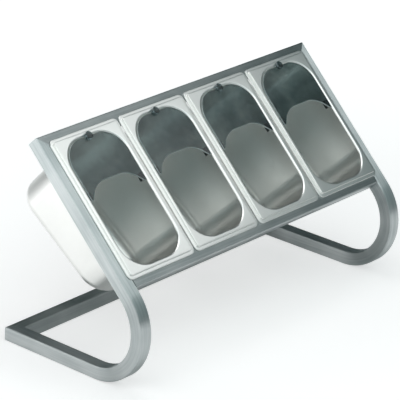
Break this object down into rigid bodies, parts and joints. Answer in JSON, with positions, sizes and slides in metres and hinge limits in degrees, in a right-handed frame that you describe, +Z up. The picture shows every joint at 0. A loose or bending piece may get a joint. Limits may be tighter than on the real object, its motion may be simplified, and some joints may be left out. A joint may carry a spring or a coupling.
{
  "type": "cutlery dispenser",
  "caption": "Tilted tube stand that holds a row of lift-out cutlery pans, each with a hinged clear hood over its upper third.",
  "frame": {"origin": "floor level, under the middle of the whole object's box", "axes": "+X to the right along the row of pans, +Y to the back, where the panel is highest, +Z up"},
  "size_m": [0.69, 0.3206, 0.3854],
  "materials": {
    "stand_steel": "fine brushed stainless tube",
    "pan_steel": "satin stainless sheet, brighter on the pressed edges",
    "stud_steel": "turned stainless",
    "smoked_acrylic": "polished smoked acrylic, see-through"
  },
  "bodies": {
    "stand": {"left_side_tube": "stand_steel", "right_side_tube": "stand_steel", "top_rail": "stand_steel", "front_rail": "stand_steel", "rear_base_rail": "stand_steel"},
    "pan_1_unit": {"pan_1": "pan_steel", "pivot_stud_left_1": "stud_steel", "pivot_stud_right_1": "stud_steel"},
    "hood_1_unit": {"hood_1": "smoked_acrylic", "hood_knob_1": "smoked_acrylic", "hinge_block_left_1": "smoked_acrylic", "hinge_block_right_1": "smoked_acrylic"},
    "pan_2_unit": {"pan_2": "pan_steel", "pivot_stud_left_2": "stud_steel", "pivot_stud_right_2": "stud_steel"},
    "hood_2_unit": {"hood_2": "smoked_acrylic", "hood_knob_2": "smoked_acrylic", "hinge_block_left_2": "smoked_acrylic", "hinge_block_right_2": "smoked_acrylic"},
    "pan_3_unit": {"pan_3": "pan_steel", "pivot_stud_left_3": "stud_steel", "pivot_stud_right_3": "stud_steel"},
    "hood_3_unit": {"hood_3": "smoked_acrylic", "hood_knob_3": "smoked_acrylic", "hinge_block_left_3": "smoked_acrylic", "hinge_block_right_3": "smoked_acrylic"},
    "pan_4_unit": {"pan_4": "pan_steel", "pivot_stud_left_4": "stud_steel", "pivot_stud_right_4": "stud_steel"},
    "hood_4_unit": {"hood_4": "smoked_acrylic", "hood_knob_4": "smoked_acrylic", "hinge_block_left_4": "smoked_acrylic", "hinge_block_right_4": "smoked_acrylic"}
  },
  "joints": [
    {"name": "pan_1_lift", "type": "slide", "parent": "stand", "child": "pan_1_unit", "axis": [0, -0.7071, 0.7071], "range_m": [0, 0.17]},
    {"name": "hood_1_hinge", "type": "hinge", "parent": "pan_1_unit", "child": "hood_1_unit", "pos_m": [-0.2475, -0.00625, 0.29787], "axis": [1, 0, 0], "range_deg": [0, 110]},
    {"name": "pan_2_lift", "type": "slide", "parent": "stand", "child": "pan_2_unit", "axis": [0, -0.7071, 0.7071], "range_m": [0, 0.17]},
    {"name": "hood_2_hinge", "type": "hinge", "parent": "pan_2_unit", "child": "hood_2_unit", "pos_m": [-0.0825, -0.00625, 0.29787], "axis": [1, 0, 0], "range_deg": [0, 110]},
    {"name": "pan_3_lift", "type": "slide", "parent": "stand", "child": "pan_3_unit", "axis": [0, -0.7071, 0.7071], "range_m": [0, 0.17]},
    {"name": "hood_3_hinge", "type": "hinge", "parent": "pan_3_unit", "child": "hood_3_unit", "pos_m": [0.0825, -0.00625, 0.29787], "axis": [1, 0, 0], "range_deg": [0, 110]},
    {"name": "pan_4_lift", "type": "slide", "parent": "stand", "child": "pan_4_unit", "axis": [0, -0.7071, 0.7071], "range_m": [0, 0.17]},
    {"name": "hood_4_hinge", "type": "hinge", "parent": "pan_4_unit", "child": "hood_4_unit", "pos_m": [0.2475, -0.00625, 0.29787], "axis": [1, 0, 0], "range_deg": [0, 110]}
  ]
}
